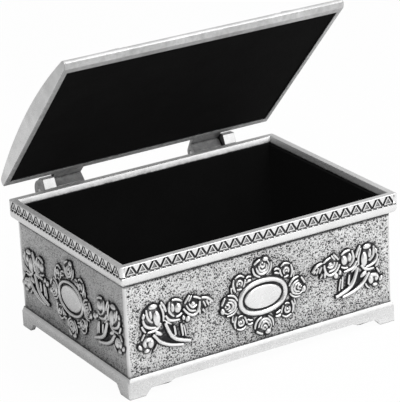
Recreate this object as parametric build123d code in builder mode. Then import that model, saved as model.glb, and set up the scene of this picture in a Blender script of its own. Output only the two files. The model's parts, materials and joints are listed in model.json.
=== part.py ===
from build123d import *
import os
from math import asin, atan2, cos, degrees, radians, sin

os.makedirs("parts", exist_ok=True)

# Rosary box: a rectangular cast-metal box on bracket feet, with a barrel-topped lid on two hinges.
# Millimetres. X runs along the width, Y from front to back and Z up. The origin is on the ground,
# midway along the width and midway between the front of the rim and the back of the hinge ears.

# Body, outside sizes
box_width = 120.0           # over the rim moulding
box_depth = 86.5            # over the rim moulding
rim_top = 52.5              # height of the face that the closed lid lies on

# Walls
wall_inset = 2.2            # outer face of a wall, in from the rim's outer face
wall_thickness = 1.3
wall_corner_round = 0.6

# Rim moulding
rim_plain_height = 3.7      # plain band, with its quarter-round lower edge
rim_zigzag_height = 4.2     # band above it
rim_quarter_round = 1.9
rim_corner_round = 0.8
rim_edge_round = 0.35
rim_slope_run = 0.9         # steep slope from the top's inner edge down to the linings
rim_slope_drop = 2.2
rim_slope_round = 0.4
rim_groove_height = 0.5     # line between the two bands
rim_groove_depth = 0.3

# Plinth and feet
base_inset = 1.2            # outer face of the plinth, in from the rim's outer face
base_height = 6.3
base_bevel_height = 1.7
base_bevel_depth = 0.8
base_corner_round = 0.9
skirt_thickness = 2.0
skirt_bottom = 3.5          # clear height between the feet
foot_length = 6.8           # flat sole, from the corner
foot_run = 2.6              # sloping inner end of a foot
bracket_height = 2.6        # low step beyond each front and back foot
bracket_end = 17.0          # end of that step, from the corner
bracket_run = 2.6
foot_round = 1.0
ledge_width = 2.0           # carries the bottom plate
ledge_height = 1.2
plate_seat = 5.2            # height of the ledge's top

# Bottom plate and linings
plate_thickness = 1.2
plate_clearance = 0.1
lining_thickness = 1.2
floor_lining_thickness = 1.6
lining_clearance = 0.1
bare_lip = 2.4              # metal left bare between the linings and the rim's top

# Oval cartouche on each wall and on the lid
relief_drop = 17.3          # middle of a wall's relief, below the rim
cartouche_drop = 1.9        # centre, below the middle of the relief
ring_half_width = 10.85
ring_half_height = 7.3
ring_band = 1.95
ring_relief = 0.9
ring_round = 0.6
plate_groove = 0.9
plaque_relief = 0.7
plaque_round = 0.4
lid_cartouche_scale = 1.45

# Roses, as low round bosses. A place is counted along the wall from its middle, then up from there
rose_relief = 1.2
rose_round = 0.7
cartouche_rose_radius = 3.4
cartouche_rose_above = 11.75
cartouche_rose_beside = 15.1
cartouche_bud_radius = 2.0
cartouche_bud_above = 8.6
cartouche_bud_beside = 9.7
outer_rose = (48.1, 2.2, 4.3)       # place and radius, on a long wall
middle_rose = (38.2, 3.0, 3.6)
inner_rose = (31.0, 3.0, 3.3)
low_bud = (50.4, -6.7, 2.7)
short_wall_shift = 14.0             # the spray's shift towards the middle of a short wall
lid_spray_middle = 27.5             # line on the lid, from its middle, that the spray is counted from

# Lid
lid_gap = 0.15              # between the closed lid and the rim
lid_edge_height = 3.3       # where the crown would meet the edge, above the underside
lid_crown_height = 7.35
lid_edge_round = 2.2
lid_end_round = 0.5
lid_back_round = 0.8
lid_undercut_depth = 2.1    # finger groove under the front edge
lid_undercut_height = 1.4
lid_skin = 1.6
lid_border_side = 2.0
lid_border_front = 2.8
lid_border_back = 3.1
lid_ledge = 2.0             # carries the lid's lining
lid_lining_depth = 0.5      # lining, up from the underside

# Hinges
pin_offset = 6.05           # pin axis, behind the rim's back face
pin_drop = 2.4              # pin axis, below the rim's top
pin_radius = 1.0
press_clearance = 0.01
running_clearance = 0.05
hinge_inset = 16.4          # outer face of each ear, in from the rim's end
ear_width = 5.3
ear_gap = 0.3               # between an ear and its lug
lug_width = 13.0
ear_boss_radius = 4.2
ear_root_bottom = 0.3       # above the rim's quarter-round
ear_root_top = 0.6          # below the rim's top
ear_shelf = 1.15            # root's top, behind the rim
ear_boss_tangent = 40.0     # where the ear's back meets its boss, degrees above level
ear_height = 3.2            # above the rim's top
ear_lean = 1.7
ear_thickness = 2.4
ear_edge_round = 0.4
lug_radius = 2.8
lug_seat = 1.2              # depth of the notch in the lid's back edge
lug_arm_height = 1.9
heel_thickness = 2.6
stop_gap = 0.1

# Opening angles of the lid, degrees from closed
rest_angle = 46.7
stop_angle = 95.0

# Sizes that follow
half_width = box_width / 2
half_depth = box_depth / 2
hinge_outer = half_width - hinge_inset
hinge_reach = pin_offset + ear_boss_radius
middle_y = -hinge_reach / 2
rim_height = rim_plain_height + rim_zigzag_height
rim_bottom = rim_top - rim_height
base_top = base_height + base_bevel_height
wall_height = rim_bottom - base_top
wall_middle = base_top + wall_height / 2
relief_middle = rim_bottom - relief_drop
cartouche_height = relief_middle - cartouche_drop
room_inset = wall_inset + wall_thickness
room_width = box_width - 2 * room_inset
room_depth = box_depth - 2 * room_inset
wall_width = box_width - 2 * wall_inset
wall_depth = box_depth - 2 * wall_inset
plate_top = plate_seat + plate_thickness
floor_top = plate_top + floor_lining_thickness
lining_height = rim_top - bare_lip - floor_top
pin_y = half_depth + pin_offset
pin_z = rim_top - pin_drop

# Planes through the body's own middle: plan, front elevation and side elevation
plan = Plane(origin=(0, middle_y, 0))
front_view = Plane(origin=(0, middle_y, 0), x_dir=(1, 0, 0), z_dir=(0, -1, 0))
side_view = Plane(origin=(0, middle_y, 0), x_dir=(0, 1, 0), z_dir=(1, 0, 0))


def finish(part, name):
    """Label a finished piece and write its STEP file."""
    part.label = name
    export_step(part, f"parts/{name}.step")


def foot_gap(reach, step_height, step_end, step_run):
    """Points of the gap between two feet, seen square on: straight runs that are rounded later."""
    toe = reach - foot_length
    heel = toe - foot_run
    points = [(toe, -foot_round), (toe, 0), (heel, step_height)]
    if step_end > foot_length + foot_run:
        points += [(reach - step_end, step_height), (reach - step_end - step_run, skirt_bottom)]
    return points + [(-x, z) for x, z in reversed(points)]


def above_sole(corner):
    """Tell a corner of the gap between two feet from those on the ground."""
    return corner.Y > bracket_height / 2


# Plinth: one moulded frame, cut away between its four bracket feet
base_width = box_width - 2 * base_inset
base_depth = box_depth - 2 * base_inset
bevel_angle = degrees(atan2(base_bevel_depth, base_bevel_height))
with BuildPart() as base_frame:
    with BuildSketch(plan):
        RectangleRounded(base_width, base_depth, base_corner_round)
    extrude(amount=base_height)
    with BuildSketch(plan.offset(base_height)):
        RectangleRounded(base_width, base_depth, base_corner_round)
    extrude(amount=base_bevel_height, taper=bevel_angle)
    with BuildSketch(plan.offset(plate_seat)):
        Rectangle(room_width, room_depth)
    extrude(amount=base_top - plate_seat, mode=Mode.SUBTRACT)
    with BuildSketch(plan):
        Rectangle(room_width - 2 * ledge_width, room_depth - 2 * ledge_width)
    extrude(amount=plate_seat, mode=Mode.SUBTRACT)
    with BuildSketch(plan):
        Rectangle(base_width - 2 * skirt_thickness, base_depth - 2 * skirt_thickness)
    extrude(amount=plate_seat - ledge_height, mode=Mode.SUBTRACT)
    with BuildSketch(front_view) as front_gap:
        with BuildLine():
            Polyline(*foot_gap(base_width / 2, bracket_height, bracket_end, bracket_run), close=True)
        make_face()
        fillet(front_gap.vertices().filter_by(above_sole), foot_round)
    extrude(amount=base_depth, both=True, mode=Mode.SUBTRACT)
    with BuildSketch(side_view) as side_gap:
        with BuildLine():
            Polyline(*foot_gap(base_depth / 2, skirt_bottom, 0, 0), close=True)
        make_face()
        fillet(side_gap.vertices().filter_by(above_sole), foot_round)
    extrude(amount=base_width, both=True, mode=Mode.SUBTRACT)
finish(base_frame.part, "base_frame")

# Bottom plate: loose sheet on the plinth's ledge
with BuildPart() as bottom_plate:
    with BuildSketch(plan.offset(plate_seat)):
        Rectangle(room_width - 2 * plate_clearance, room_depth - 2 * plate_clearance)
    extrude(amount=plate_thickness)
finish(bottom_plate.part, "bottom_plate")


def outermost(part, face):
    """The faces of a part that stand furthest out from a plane."""
    return part.faces().group_by(lambda side: (side.center() - face.origin).dot(face.z_dir))[-1]


def raise_cartouche(panel, face, centre_height, scale, sunk):
    """Raise the cartouche's plaque and the ring round it, from a depth below the given face."""
    plaque_inset = ring_band + plate_groove
    with BuildSketch(face.offset(-sunk)) as plaque:
        with Locations((0, centre_height)):
            Ellipse(ring_half_width * scale - plaque_inset, ring_half_height * scale - plaque_inset)
    extrude(plaque.sketch, amount=sunk + plaque_relief)
    fillet(outermost(panel, face).edges(), plaque_round)
    with BuildSketch(face.offset(-sunk)) as ring:
        with Locations((0, centre_height)):
            Ellipse(ring_half_width * scale, ring_half_height * scale)
            Ellipse(
                ring_half_width * scale - ring_band, ring_half_height * scale - ring_band, mode=Mode.SUBTRACT
            )
    extrude(ring.sketch, amount=sunk + ring_relief)
    fillet(outermost(panel, face).edges(), ring_round)


def raise_roses(panel, face, roses, sunk):
    """Raise roses, each given by its place on the face and its radius, as bosses with rounded edges."""
    with BuildSketch(face.offset(-sunk)) as bosses:
        for x, y, radius in roses:
            with Locations((-x, y), (x, y)):
                Circle(radius)
    extrude(bosses.sketch, amount=sunk + rose_relief)
    fillet(outermost(panel, face).edges(), rose_round)


def wall_panel(length, face, corner_round, spray, shift):
    """A cast panel that stands on the plinth under the rim, its cartouche and roses raised on its face."""
    roses = [(x - shift, relief_middle + y, radius) for x, y, radius in spray]
    roses.append((cartouche_rose_beside, cartouche_height, cartouche_rose_radius))
    for side in (-1, 1):
        rose_height = cartouche_height + side * cartouche_rose_above
        bud_height = cartouche_height + side * cartouche_bud_above
        roses.append((0, rose_height, cartouche_rose_radius))
        roses.append((cartouche_bud_beside, bud_height, cartouche_bud_radius))
    with BuildPart() as panel:
        with BuildSketch(face):
            with Locations((0, wall_middle)):
                Rectangle(length, wall_height)
        extrude(amount=-wall_thickness)
        if corner_round:
            fillet(outermost(panel, face).edges().filter_by(Axis.Z), corner_round)
        raise_cartouche(panel, face, cartouche_height, 1, 0)
        raise_roses(panel, face, roses, 0)
    return panel.part


def wall_face(outward, along, reach):
    """The plane of a wall's outer face, its X running along the wall."""
    origin = (outward[0] * reach, middle_y + outward[1] * reach, 0)
    return Plane(origin=origin, x_dir=along, z_dir=outward)


# Four walls: the front and back run the full width, the side walls butt between them
front_face = wall_face((0, -1, 0), (1, 0, 0), wall_depth / 2)
back_face = wall_face((0, 1, 0), (-1, 0, 0), wall_depth / 2)
left_face = wall_face((-1, 0, 0), (0, -1, 0), wall_width / 2)
right_face = wall_face((1, 0, 0), (0, 1, 0), wall_width / 2)
long_spray = (outer_rose, middle_rose, inner_rose, low_bud)
short_spray = (outer_rose, middle_rose, low_bud)
finish(wall_panel(wall_width, front_face, wall_corner_round, long_spray, 0), "front_wall")
finish(wall_panel(wall_width, back_face, wall_corner_round, long_spray, 0), "back_wall")
finish(wall_panel(room_depth, left_face, 0, short_spray, short_wall_shift), "left_wall")
finish(wall_panel(room_depth, right_face, 0, short_spray, short_wall_shift), "right_wall")

# Rim: moulded frame with a flat top, a grooved face and a quarter-round lower edge
with BuildPart() as rim_frame:
    with BuildSketch(plan.offset(rim_bottom)):
        RectangleRounded(box_width, box_depth, rim_corner_round)
    extrude(amount=rim_height)
    fillet(rim_frame.faces().sort_by(Axis.Z)[0].edges(), rim_quarter_round)
    fillet(rim_frame.faces().sort_by(Axis.Z)[-1].edges(), rim_edge_round)
    with BuildSketch(plan.offset(rim_bottom + rim_plain_height - rim_groove_height / 2)):
        Rectangle(2 * box_width, 2 * box_depth)
        Rectangle(box_width - 2 * rim_groove_depth, box_depth - 2 * rim_groove_depth, mode=Mode.SUBTRACT)
    extrude(amount=rim_groove_height, mode=Mode.SUBTRACT)
    with BuildSketch(plan.offset(rim_bottom)):
        Rectangle(room_width, room_depth)
    extrude(amount=rim_height, mode=Mode.SUBTRACT)
    rim_top_face = rim_frame.faces().sort_by(Axis.Z)[-1]
    chamfer(rim_top_face.inner_wires()[0].edges(), rim_slope_run, rim_slope_drop, reference=rim_top_face)
    fillet(rim_frame.faces().sort_by(Axis.Z)[-1].inner_wires()[0].edges(), rim_slope_round)
finish(rim_frame.part, "rim_frame")

# Floor lining, under the four wall linings
with BuildPart() as floor_lining:
    with BuildSketch(plan.offset(plate_top)):
        Rectangle(room_width - 2 * lining_clearance, room_depth - 2 * lining_clearance)
    extrude(amount=floor_lining_thickness)
finish(floor_lining.part, "floor_lining")

# Wall linings: the front and back boards run full length, the side boards fit between them
long_lining = room_width - 2 * lining_clearance
short_lining = room_depth - 2 * (lining_thickness + lining_clearance)
lining_x = (room_width - lining_thickness) / 2
lining_y = (room_depth - lining_thickness) / 2
wall_linings = {
    "front_lining": (long_lining, lining_thickness, 0, -lining_y),
    "back_lining": (long_lining, lining_thickness, 0, lining_y),
    "left_lining": (lining_thickness, short_lining, -lining_x, 0),
    "right_lining": (lining_thickness, short_lining, lining_x, 0),
}
for name, (size_x, size_y, centre_x, centre_y) in wall_linings.items():
    with BuildPart() as lining:
        with BuildSketch(plan.offset(floor_top)):
            with Locations((centre_x, centre_y)):
                Rectangle(size_x, size_y)
        extrude(amount=lining_height)
    finish(lining.part, name)


def opened(y, z):
    """Where a point of the closed lid's side elevation lies once the lid is open."""
    angle = radians(rest_angle)
    behind = y - pin_y
    above = z - pin_z
    return (pin_y + behind * cos(angle) + above * sin(angle), pin_z - behind * sin(angle) + above * cos(angle))


# Planes of the open lid: along its underside, and its side elevations about its middle and its pin
lid_up = (0, sin(radians(rest_angle)), cos(radians(rest_angle)))
lid_back = (0, cos(radians(rest_angle)), -sin(radians(rest_angle)))
lid_middle_y, lid_middle_z = opened(0, rim_top + lid_gap)
lid_plan = Plane(origin=(0, middle_y + lid_middle_y, lid_middle_z), x_dir=(1, 0, 0), z_dir=lid_up)
lid_section = Plane(origin=lid_plan.origin, x_dir=lid_back, z_dir=(1, 0, 0))
pin_section = Plane(origin=(0, middle_y + pin_y, pin_z), x_dir=lid_back, z_dir=(1, 0, 0))

# The crown is a circular arc from the front edge to the back edge
crown_rise = lid_crown_height - lid_edge_height
crown_radius = (half_depth**2 + crown_rise**2) / (2 * crown_rise)


def crown_height_at(y, skin):
    """Height above the underside of the crown's arc, less a skin, at a distance behind the middle."""
    return lid_crown_height - crown_radius + ((crown_radius - skin) ** 2 - y**2) ** 0.5


def crown_face(y):
    """The plane that touches the crown along a line at a distance behind the lid's middle."""
    lean = asin(y / crown_radius)
    outward = lid_plan.y_dir * sin(lean) + lid_plan.z_dir * cos(lean)
    origin = lid_plan.origin + lid_plan.y_dir * y + lid_plan.z_dir * crown_height_at(y, 0)
    return Plane(origin=origin, x_dir=(1, 0, 0), z_dir=outward)


recess_depth = lid_lining_depth + lining_thickness
recess_front = -half_depth + lid_undercut_depth + lid_border_front
recess_back = half_depth - lid_border_back
recess_width = box_width - 2 * lid_border_side
hollow_front = recess_front + lid_ledge
hollow_back = recess_back - lid_ledge
lug_inner = hinge_outer - ear_width - ear_gap - lug_width
lug_middle = lug_inner + lug_width / 2


def recess_rectangle(margin):
    """The outline of the lid's recess, or of a board that fits in it, on the lid's plan."""
    with Locations((0, (recess_front + recess_back) / 2)):
        Rectangle(recess_width - 2 * margin, recess_back - recess_front - 2 * margin)


# Rows of roses across the lid: each row's distance behind the middle, and the roses on it
grown_rose = cartouche_rose_radius * lid_cartouche_scale
lid_rows = {0: [(cartouche_rose_beside * lid_cartouche_scale, 0, grown_rose)]}
for side in (-1, 1):
    lid_rows[side * cartouche_rose_above * lid_cartouche_scale] = [(0, 0, grown_rose)]
    lid_rows[side * cartouche_bud_above * lid_cartouche_scale] = [
        (cartouche_bud_beside * lid_cartouche_scale, 0, cartouche_bud_radius * lid_cartouche_scale)
    ]
    for x, y, radius in long_spray:
        lid_rows.setdefault(side * (lid_spray_middle - y), []).append((x, 0, radius))

# Lid: a cast shell under a crowned top, its recess stepped to a ledge for the lining
with BuildPart() as lid_shell:
    with BuildSketch(lid_section) as lid_profile:
        with BuildLine():
            ThreePointArc((-half_depth, lid_edge_height), (0, lid_crown_height), (half_depth, lid_edge_height))
            Polyline(
                (half_depth, lid_edge_height),
                (half_depth, 0),
                (-half_depth + lid_undercut_depth, 0),
                (-half_depth, lid_undercut_height),
                (-half_depth, lid_edge_height),
            )
        make_face()
        fillet(lid_profile.vertices().group_by(Axis.Y)[-1], lid_edge_round)
        fillet(lid_profile.vertices().group_by(Axis.Y)[0].sort_by(Axis.X)[-1], lid_back_round)
    extrude(amount=half_width, both=True)
    fillet(lid_shell.faces().sort_by(Axis.X)[0].edges(), lid_end_round)
    fillet(lid_shell.faces().sort_by(Axis.X)[-1].edges(), lid_end_round)
    with BuildSketch(lid_plan):
        recess_rectangle(0)
    extrude(amount=recess_depth, mode=Mode.SUBTRACT)
    with BuildSketch(lid_section):
        with BuildLine():
            ThreePointArc(
                (hollow_front, crown_height_at(hollow_front, lid_skin)),
                (0, crown_height_at(0, lid_skin)),
                (hollow_back, crown_height_at(hollow_back, lid_skin)),
            )
            Polyline(
                (hollow_back, crown_height_at(hollow_back, lid_skin)),
                (hollow_back, 0),
                (hollow_front, 0),
                (hollow_front, crown_height_at(hollow_front, lid_skin)),
            )
        make_face()
    extrude(amount=recess_width / 2 - lid_ledge, both=True, mode=Mode.SUBTRACT)
    with BuildSketch(lid_plan):
        with Locations((-lug_middle, half_depth), (lug_middle, half_depth)):
            Rectangle(lug_width, 2 * lug_seat)
    extrude(amount=lid_crown_height, mode=Mode.SUBTRACT)
    raise_cartouche(lid_shell, lid_plan.offset(lid_crown_height), 0, lid_cartouche_scale, lid_skin / 2)
    for row, roses in lid_rows.items():
        raise_roses(lid_shell, crown_face(row), roses, lid_skin / 2)
finish(lid_shell.part, "lid_shell")

# Lid lining: a flat board against the ledge in the lid's recess
with BuildPart() as lid_lining:
    with BuildSketch(lid_plan.offset(lid_lining_depth)):
        recess_rectangle(lining_clearance)
    extrude(amount=lining_thickness)
finish(lid_lining.part, "lid_lining")

# Side outline of a hinge ear, and the height of the lid's underside over the pin
ear_root_z = rim_bottom + rim_quarter_round + ear_root_bottom
ear_front_y = half_depth + ear_shelf + ear_lean
boss_angle = radians(ear_boss_tangent)
underside_over_pin = pin_drop + lid_gap

# Hinges: each has an ear on the rim's back, a pin fixed in it and a lug that turns on the pin
for side, hand in ((-1, "left"), (1, "right")):
    with BuildPart() as ear:
        with BuildSketch(side_view.offset(side * hinge_outer)):
            with BuildLine():
                Polyline(
                    (half_depth, ear_root_z),
                    (half_depth, rim_top - ear_root_top),
                    (half_depth + ear_shelf, rim_top - ear_root_top),
                    (ear_front_y, rim_top + ear_height),
                    (ear_front_y + ear_thickness, rim_top + ear_height),
                    (pin_y + ear_boss_radius * cos(boss_angle), pin_z + ear_boss_radius * sin(boss_angle)),
                    (pin_y, pin_z),
                    (pin_y, pin_z - ear_boss_radius),
                    close=True,
                )
            make_face()
            with Locations((pin_y, pin_z)):
                Circle(ear_boss_radius)
                Circle(pin_radius + press_clearance, mode=Mode.SUBTRACT)
        extrude(amount=-side * ear_width)
        fillet(ear.edges().filter_by(Axis.X).group_by(Axis.Z)[-1], ear_edge_round)
    finish(ear.part, f"{hand}_hinge_ear")

    pin_end = Plane(origin=(side * lug_inner, middle_y + pin_y, pin_z), x_dir=(0, 1, 0), z_dir=(side, 0, 0))
    with BuildPart() as pin:
        with BuildSketch(pin_end):
            Circle(pin_radius)
        extrude(amount=hinge_outer - lug_inner)
    finish(pin.part, f"{hand}_hinge_pin")

    with BuildPart() as lug:
        with BuildSketch(pin_section.offset(side * lug_inner)):
            Circle(lug_radius)
            with Locations((-pin_offset - lug_seat, underside_over_pin)):
                Rectangle(lug_seat, lug_arm_height, align=(Align.MIN, Align.MIN))
            make_hull()
            with Locations((-lug_radius, underside_over_pin)):
                Rectangle(2 * pin_offset, 2 * pin_offset, align=(Align.MAX, Align.MAX), mode=Mode.SUBTRACT)
            Circle(lug_radius)
            Rectangle(
                pin_offset - stop_gap, heel_thickness, rotation=stop_angle, align=(Align.MAX, Align.MAX)
            )
            Circle(pin_radius + running_clearance, mode=Mode.SUBTRACT)
        extrude(amount=side * lug_width)
    finish(lug.part, f"{hand}_hinge_lug")
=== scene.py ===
import json
import math

import bmesh
import bpy
import numpy as np
from mathutils import Matrix, Vector, kdtree


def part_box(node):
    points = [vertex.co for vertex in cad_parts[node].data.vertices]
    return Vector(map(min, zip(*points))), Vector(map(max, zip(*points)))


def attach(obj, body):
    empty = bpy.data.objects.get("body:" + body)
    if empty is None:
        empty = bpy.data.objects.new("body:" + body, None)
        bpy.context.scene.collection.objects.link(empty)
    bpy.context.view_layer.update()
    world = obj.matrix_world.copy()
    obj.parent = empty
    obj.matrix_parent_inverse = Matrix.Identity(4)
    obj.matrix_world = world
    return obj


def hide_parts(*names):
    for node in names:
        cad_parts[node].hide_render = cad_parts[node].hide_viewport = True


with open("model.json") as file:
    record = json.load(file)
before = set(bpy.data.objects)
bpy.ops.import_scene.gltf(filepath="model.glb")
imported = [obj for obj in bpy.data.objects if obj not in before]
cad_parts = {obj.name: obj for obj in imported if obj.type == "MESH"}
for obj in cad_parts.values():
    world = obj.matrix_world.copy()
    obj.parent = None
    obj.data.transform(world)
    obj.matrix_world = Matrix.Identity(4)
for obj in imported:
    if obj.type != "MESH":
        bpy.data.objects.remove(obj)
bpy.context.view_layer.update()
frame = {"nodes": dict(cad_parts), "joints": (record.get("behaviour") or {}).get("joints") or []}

# Camera: a long lens, well back, a little above the box and to the left of its front. It leans a
# touch to one side, as a camera held by hand does.
focal_length = 213.04
camera_place = Vector((-0.42625, -0.73161, 0.37403))
heading = math.radians(30.36)
downward = math.radians(21.01)
lean = math.radians(-2.84)
bpy.ops.object.camera_add(location=camera_place)
camera = bpy.context.object
camera.data.lens = focal_length
camera.data.sensor_width = 36
camera.data.clip_start = 0.05
camera.data.clip_end = 20
level = Matrix.Rotation(-heading, 4, "Z") @ Matrix.Rotation(math.pi / 2 - downward, 4, "X")
camera.rotation_euler = (level @ Matrix.Rotation(lean, 4, "Z")).to_euler()
bpy.context.scene.camera = camera
bpy.context.scene.view_settings.view_transform = "Standard"


# Table and lamps: a plain white sheet under the box, a large soft box in front and to the right, weak
# ones overhead and over the sheet, and grey studio walls. The sheet and the walls are lifted to white
# for the eye, and the sheet keeps a soft shadow.
def new_finish(name):
    """A new material: itself, its shader and a helper that adds a node, sets it and links its inputs."""
    material = bpy.data.materials.new(name)
    material.use_nodes = True
    tree = material.node_tree

    def add(kind, settings=None, **inputs):
        node = tree.nodes.new(kind)
        for key, value in (settings or {}).items():
            setattr(node, key, value)
        for key, value in inputs.items():
            socket = node.inputs[int(key[1:]) if key[1:].isdigit() else key.replace("_", " ")]
            if isinstance(value, bpy.types.NodeSocket):
                tree.links.new(value, socket)
            else:
                socket.default_value = value
        return node.outputs[0]

    return material, tree.nodes["Principled BSDF"], add


bpy.ops.mesh.primitive_plane_add(size=6, location=(0, 0, -0.0002))
table = bpy.context.object
table.name = "table_sheet"
table_finish, shader, add = new_finish("white table sheet")
shader.inputs["Base Color"].default_value = (0.86, 0.86, 0.86, 1)
shader.inputs["Roughness"].default_value = 0.9
shader.inputs["Specular IOR Level"].default_value = 0
rays = table_finish.node_tree.nodes.new("ShaderNodeLightPath")
glow = add("ShaderNodeEmission", Color=(1, 1, 1, 1), Strength=1.0)
seen = add("ShaderNodeMath", {"operation": "MULTIPLY"}, i0=rays.outputs["Is Camera Ray"], i1=0.97)
through = add("ShaderNodeMath", {"operation": "MAXIMUM"}, i0=rays.outputs["Is Glossy Ray"],
              i1=rays.outputs["Is Transmission Ray"])
mirrored = add("ShaderNodeMath", {"operation": "MULTIPLY"}, i0=through, i1=0.1)
lift = add("ShaderNodeMath", {"operation": "ADD"}, i0=seen, i1=mirrored)
sheet_look = add("ShaderNodeMixShader", i0=lift, i1=shader.outputs[0], i2=glow)
table_finish.node_tree.links.new(
    sheet_look, table_finish.node_tree.nodes["Material Output"].inputs["Surface"]
)
table.data.materials.append(table_finish)

studio = bpy.data.worlds.new("studio")
bpy.context.scene.world = studio
studio.use_nodes = True
studio.node_tree.nodes["Background"].inputs["Color"].default_value = (1, 1, 1, 1)
walls_glow = studio.node_tree.nodes.new("ShaderNodeMapRange")
walls_glow.inputs["To Min"].default_value = 0.38
walls_glow.inputs["To Max"].default_value = 1.0
eye = studio.node_tree.nodes.new("ShaderNodeLightPath")
studio.node_tree.links.new(eye.outputs["Is Camera Ray"], walls_glow.inputs["Value"])
studio.node_tree.links.new(walls_glow.outputs[0], studio.node_tree.nodes["Background"].inputs["Strength"])


def soft_box(name, place, aim, width, height, power):
    """A soft-box lamp that faces a point."""
    bpy.ops.object.light_add(type="AREA", location=place)
    lamp = bpy.context.object
    lamp.name = name
    lamp.data.shape = "RECTANGLE"
    lamp.data.size = width
    lamp.data.size_y = height
    lamp.data.energy = power
    lamp.rotation_euler = (Vector(aim) - Vector(place)).to_track_quat("-Z", "Y").to_euler()


soft_box("front_soft_box", (0.55, -0.85, 0.55), (0, 0, 0.04), 1.5, 1.0, 6.5)
soft_box("top_soft_box", (0.1, 0.1, 0.9), (0, 0, 0.04), 0.8, 0.8, 1.4)
soft_box("table_soft_box", (0.15, -0.35, 0.6), (0.1, -0.3, 0), 0.4, 0.3, 2)


# Plinth: a cast frame on four bracket feet, silver plated and rubbed bright, with a little oxide left
# in its corners. Its edges are softened by casting and polishing.
def pick(piece):
    """Select one piece and nothing else."""
    if bpy.context.object and bpy.context.object.mode != "OBJECT":
        bpy.ops.object.mode_set(mode="OBJECT")
    bpy.ops.object.select_all(action="DESELECT")
    piece.select_set(True)
    bpy.context.view_layer.objects.active = piece


def edit(piece, kind, test):
    """Open a piece in edit mode with those of its vertices, edges or faces selected that pass a test."""
    if piece.mode != "EDIT":
        pick(piece)
        bpy.ops.object.mode_set(mode="EDIT")
    bpy.ops.mesh.select_mode(type={"verts": "VERT", "edges": "EDGE", "faces": "FACE"}[kind])
    bpy.ops.mesh.select_all(action="DESELECT")
    shape = bmesh.from_edit_mesh(piece.data)
    for part in getattr(shape, kind):
        if test(part):
            part.select_set(True)
    bmesh.update_edit_mesh(piece.data)


def work(piece, kind, **settings):
    """Add a modifier to a piece, set it and apply it."""
    pick(piece)
    bpy.ops.object.modifier_add(type=kind)
    modifier = piece.modifiers[-1]
    for key, value in settings.items():
        setattr(modifier, key, value)
    bpy.ops.object.modifier_apply(modifier=modifier.name)


def fit(piece, name, body, finish, slot, *nodes):
    """Name a finished piece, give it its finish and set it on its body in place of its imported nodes."""
    piece.name = name
    piece.data.name = name
    piece.data.materials.clear()
    piece.data.materials.append(finish)
    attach(piece, body)
    if nodes:
        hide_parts(*nodes)
    return piece


def softened(node, edge_round, segments=2):
    """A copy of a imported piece, its triangles merged into flat faces and its sharp edges rounded."""
    piece = bpy.data.objects.new(node + "_cast", frame["nodes"][node].data.copy())
    bpy.context.collection.objects.link(piece)
    pick(piece)
    bpy.ops.mesh.customdata_custom_splitnormals_clear()
    edit(piece, "verts", lambda corner: True)
    bpy.ops.mesh.remove_doubles(threshold=0.000002)
    bpy.ops.mesh.dissolve_limited(angle_limit=math.radians(0.4))
    bpy.ops.mesh.vert_connect_concave()
    bpy.ops.object.mode_set(mode="OBJECT")
    work(piece, "BEVEL", width=edge_round, segments=segments, angle_limit=math.radians(32),
         use_clamp_overlap=False)
    bpy.ops.object.shade_smooth_by_angle(angle=math.radians(50))
    work(piece, "WEIGHTED_NORMAL", keep_sharp=True)
    return piece


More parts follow.
